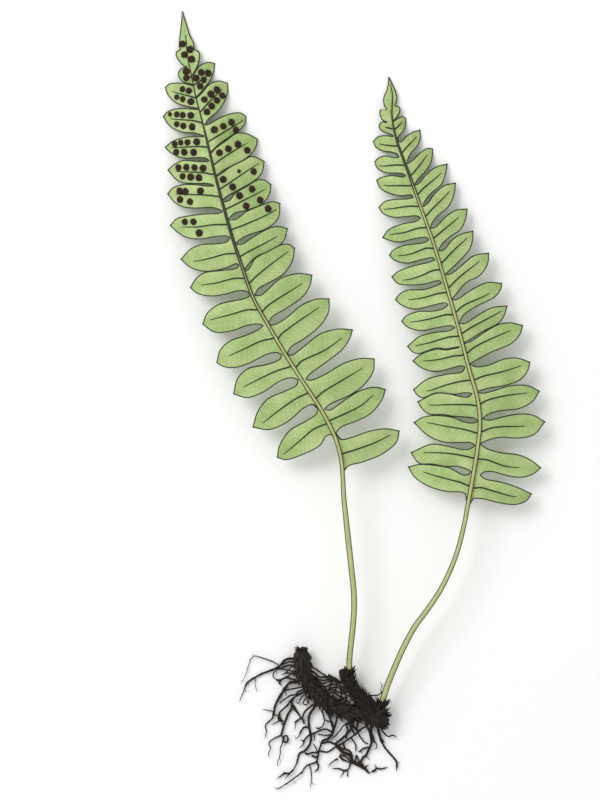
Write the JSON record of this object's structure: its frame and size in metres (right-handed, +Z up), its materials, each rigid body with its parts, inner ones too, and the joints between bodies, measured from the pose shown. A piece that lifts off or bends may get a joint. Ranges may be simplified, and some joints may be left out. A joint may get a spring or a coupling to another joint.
{
  "type": "western polypody fern",
  "caption": "Picked western polypody lying underside up: scaly branched rhizome with wiry roots, a fertile frond with round spore clusters and a sterile frond.",
  "frame": {"origin": "on the surface that the plant lies on, below the middle of its bounding box", "axes": "+Y from the roots towards the tips of the fronds, +Z up, away from the surface, +X across the fronds"},
  "size_m": [0.1535, 0.3115, 0.017],
  "materials": {
    "leaf": "matt green leaf underside",
    "stalk": "smooth straw-green stem",
    "rhizome": "dark chaffy scales and roots",
    "sori": "rusty brown grainy spore cases"
  },
  "bodies": {
    "root": {"fertile_blade": "leaf", "fertile_stalk": "stalk", "sterile_blade": "leaf", "sterile_stalk": "stalk", "rhizome_and_roots": "rhizome"}
  },
  "joints": []
}
